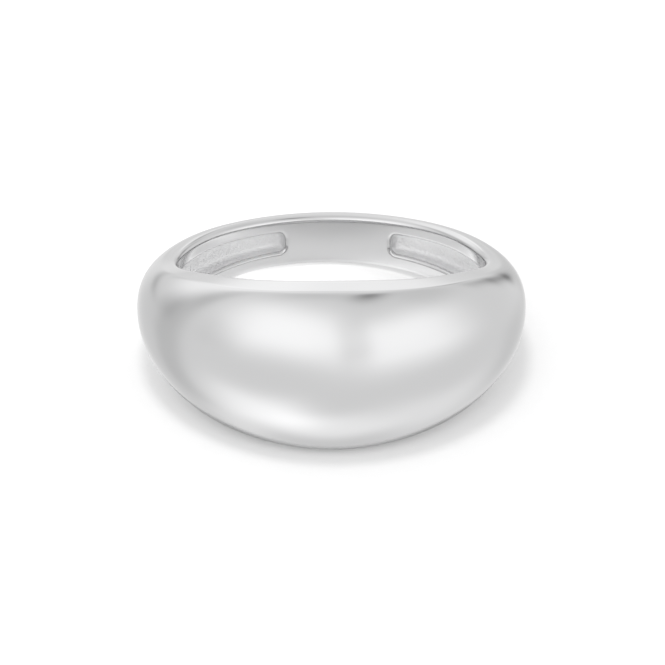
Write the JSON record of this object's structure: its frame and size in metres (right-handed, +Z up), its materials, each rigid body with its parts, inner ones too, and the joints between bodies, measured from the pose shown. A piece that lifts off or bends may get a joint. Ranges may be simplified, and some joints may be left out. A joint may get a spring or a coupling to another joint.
{
  "type": "dome ring",
  "caption": "Polished metal finger ring with a wide smooth dome at the front, a narrow band at the back and a hollowed inside.",
  "frame": {"origin": "middle of the ring's bounding box, on the surface that it rests on", "axes": "+Z up from that surface, -Y towards the dome, +X to the right of someone who faces the dome; the finger hole's axis leans 10.4 degrees from +Z towards +Y"},
  "size_m": [0.0218, 0.0222, 0.0097],
  "materials": {
    "polished_silver": "mirror-polished white metal, with a matte cast skin inside the hollow"
  },
  "bodies": {
    "root": {"dome_band": "polished_silver"}
  },
  "joints": []
}
